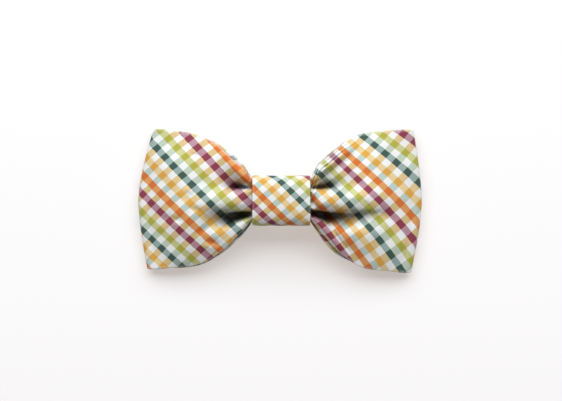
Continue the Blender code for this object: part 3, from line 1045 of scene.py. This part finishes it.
# The hand stitches
# White sewing cotton, two strands of 0.2 mm laid as one: slip stitches close
# the knot's lap across its back, and whip stitches hold the elastic to it.
# Places are in millimetres from the middle of the knot's back.
THREAD_RADIUS = 0.00016
THREAD_WHITE = "#F0EEE8"
THREAD_SIDES = 8
BEND_STEPS = 8
STITCH_LEAN = 0.22  # the most that a stitch leans, in radians
SLIP_STITCH = dict(start=(-0.35, -0.50, 0.30), over=(0.0, 0.0, -0.50), end=(0.35, 0.60, 0.60))
WHIP_STITCH = {
    "left": dict(start=(0.70, -0.35, -1.30), over=(-0.80, 0.0, -1.20), end=(-0.25, 0.35, 0.35)),
    "right": dict(start=(-0.70, -0.35, -1.30), over=(0.80, 0.0, -1.20), end=(0.25, 0.35, 0.35)),
}
STITCH_ROWS = [
    dict(name="seam_stitches_left", slot="knot_cotton", count=6, seed=1,
         first=(-10.3, -4.0, 0.0), last=(-5.7, -4.0, 0.0), **SLIP_STITCH),
    dict(name="seam_stitches_right", slot="knot_cotton", count=6, seed=2,
         first=(5.7, -4.0, 0.0), last=(10.3, -4.0, 0.0), **SLIP_STITCH),
    dict(name="whip_stitches_left", slot="white_elastic", count=5, seed=3,
         first=(-5.0, -3.6, 0.0), last=(-5.0, 3.6, 0.0), **WHIP_STITCH["left"]),
    dict(name="whip_stitches_right", slot="white_elastic", count=5, seed=4,
         first=(5.0, -3.6, 0.0), last=(5.0, 3.6, 0.0), **WHIP_STITCH["right"]),
]

# Twisted cotton thread: matt, with a soft highlight along it
sewing_cotton = new_material(
    "white sewing cotton",
    {"Base Color": linear(THREAD_WHITE), "Roughness": 0.7, "IOR": 1.5, "Specular IOR Level": 0.4},
)[0]


def stitch_tree():
    """A row of stitches: each a short bent thread, set evenly along a straight line."""
    tree = bpy.data.node_groups.new("row of stitches", "GeometryNodeTree")
    sockets = {
        "First": "Vector",
        "Last": "Vector",
        "Stitches": "Int",
        "Goes in": "Vector",
        "Passes over": "Vector",
        "Comes out": "Vector",
        "Thread radius": "Float",
        "Seed": "Int",
        "Thread": "Material",
    }
    for name, kind in sockets.items():
        tree.interface.new_socket(name, in_out="INPUT", socket_type="NodeSocket" + kind)
    tree.interface.new_socket("Geometry", in_out="OUTPUT", socket_type="NodeSocketGeometry")
    given = add_node(tree, "NodeGroupInput").outputs
    line = add_node(tree, "GeometryNodeCurvePrimitiveLine", {"Start": given["First"], "End": given["Last"]})
    places = add_node(
        tree, "GeometryNodeResampleCurve", {"Curve": line.outputs["Curve"], "Count": given["Stitches"]}
    )
    bend = add_node(
        tree,
        "GeometryNodeCurveQuadraticBezier",
        {
            "Resolution": BEND_STEPS,
            "Start": given["Goes in"],
            "Middle": given["Passes over"],
            "End": given["Comes out"],
        },
    )
    section = add_node(
        tree,
        "GeometryNodeCurvePrimitiveCircle",
        {"Resolution": THREAD_SIDES, "Radius": given["Thread radius"]},
    )
    thread = add_node(
        tree,
        "GeometryNodeCurveToMesh",
        {"Curve": bend.outputs["Curve"], "Profile Curve": section.outputs["Curve"], "Fill Caps": True},
    )
    lean = add_node(
        tree,
        "FunctionNodeRandomValue",
        {0: (0.0, 0.0, -STITCH_LEAN), 1: (0.0, 0.0, STITCH_LEAN), "Seed": given["Seed"]},
        data_type="FLOAT_VECTOR",
    )
    row = add_node(
        tree,
        "GeometryNodeInstanceOnPoints",
        {
            "Points": places.outputs["Curve"],
            "Instance": thread.outputs["Mesh"],
            "Rotation": lean.outputs["Value"],
        },
    )
    real = add_node(tree, "GeometryNodeRealizeInstances", {"Geometry": row.outputs["Instances"]})
    smooth = add_node(tree, "GeometryNodeSetShadeSmooth", {"Geometry": real.outputs["Geometry"]})
    sewn = add_node(
        tree, "GeometryNodeSetMaterial", {"Geometry": smooth.outputs["Geometry"], "Material": given["Thread"]}
    )
    add_node(tree, "NodeGroupOutput", {"Geometry": sewn.outputs["Geometry"]})
    return tree


def in_metres(millimetres):
    """A place or a step in millimetres, as a list in metres."""
    return [value / 1000 for value in millimetres]


stitches = stitch_tree()
knot_back = Vector((KNOT_X, 0.0, knot_low.z))
for row in STITCH_ROWS:
    maker = add_object("stitch maker", bpy.data.meshes.new("stitch maker"))
    modifier = maker.modifiers.new("stitches", "NODES")
    modifier.node_group = stitches
    values = {
        "First": list(knot_back + Vector(in_metres(row["first"]))),
        "Last": list(knot_back + Vector(in_metres(row["last"]))),
        "Stitches": row["count"],
        "Goes in": in_metres(row["start"]),
        "Passes over": in_metres(row["over"]),
        "Comes out": in_metres(row["end"]),
        "Thread radius": THREAD_RADIUS,
        "Seed": row["seed"],
        "Thread": sewing_cotton,
    }
    for socket in stitches.interface.items_tree:
        if socket.in_out == "INPUT":
            modifier[socket.identifier] = values[socket.name]
    bpy.context.view_layer.update()
    seen = maker.evaluated_get(bpy.context.evaluated_depsgraph_get())
    mesh = bpy.data.meshes.new_from_object(seen)
    maker.modifiers.remove(modifier)
    bpy.data.objects.remove(maker)
    mesh.name = row["name"]
    sewn = add_object(row["name"], mesh)
    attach(sewn, "root")
